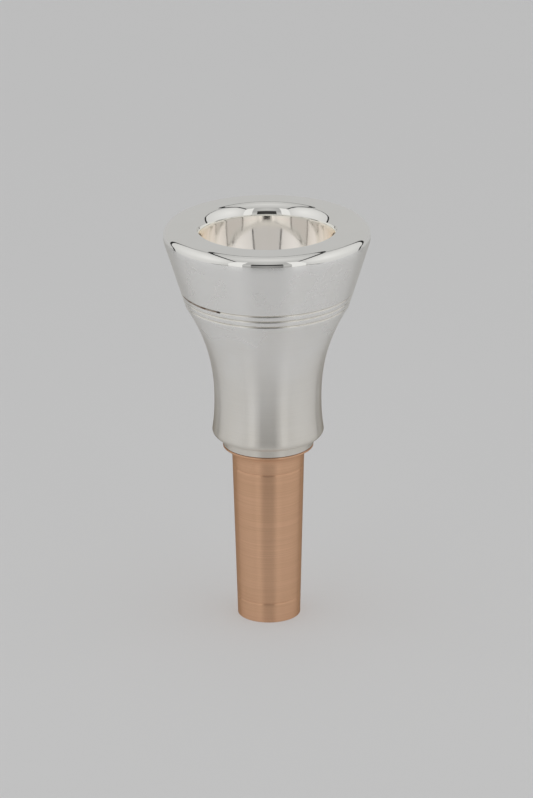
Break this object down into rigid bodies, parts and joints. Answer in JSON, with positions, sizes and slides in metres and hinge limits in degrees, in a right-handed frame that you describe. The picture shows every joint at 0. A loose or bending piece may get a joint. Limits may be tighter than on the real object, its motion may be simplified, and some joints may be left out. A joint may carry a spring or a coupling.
{
  "type": "two-piece brass instrument mouthpiece",
  "caption": "Screw-together low brass mouthpiece: a flared cup with a broad flat rim, cut grooves and a collar, on a tapered tubular shank.",
  "frame": {"origin": "centre of the shank's tip, which the mouthpiece stands on", "axes": "+Z along the bore, from the shank's tip to the rim; the turned body has no front, so X and Y are free"},
  "size_m": [0.0394, 0.0394, 0.0792],
  "materials": {
    "silver_plate": "silver plate: mirror polished rim and bowl, satin turned outside",
    "bronze": "bare bronze, fine satin turning marks",
    "seal_rubber": "moulded, matt"
  },
  "bodies": {
    "shank": {"shank": "bronze"},
    "seal": {"seal_ring": "seal_rubber"},
    "cup": {"cup": "silver_plate"}
  },
  "joints": [
    {"name": "cup_turn", "type": "hinge", "parent": "shank", "child": "seal", "pos_m": [0, 0, 0.035], "axis": [0, 0, 1], "range_deg": [0, 3600]},
    {"name": "cup_rise", "type": "slide", "parent": "seal", "child": "cup", "axis": [0, 0, 1], "range_m": [0, 0.01251]}
  ],
  "couplings": [
    {"joint": "cup_rise", "follows": "cup_turn", "m_per_rad": 0.00019894}
  ]
}
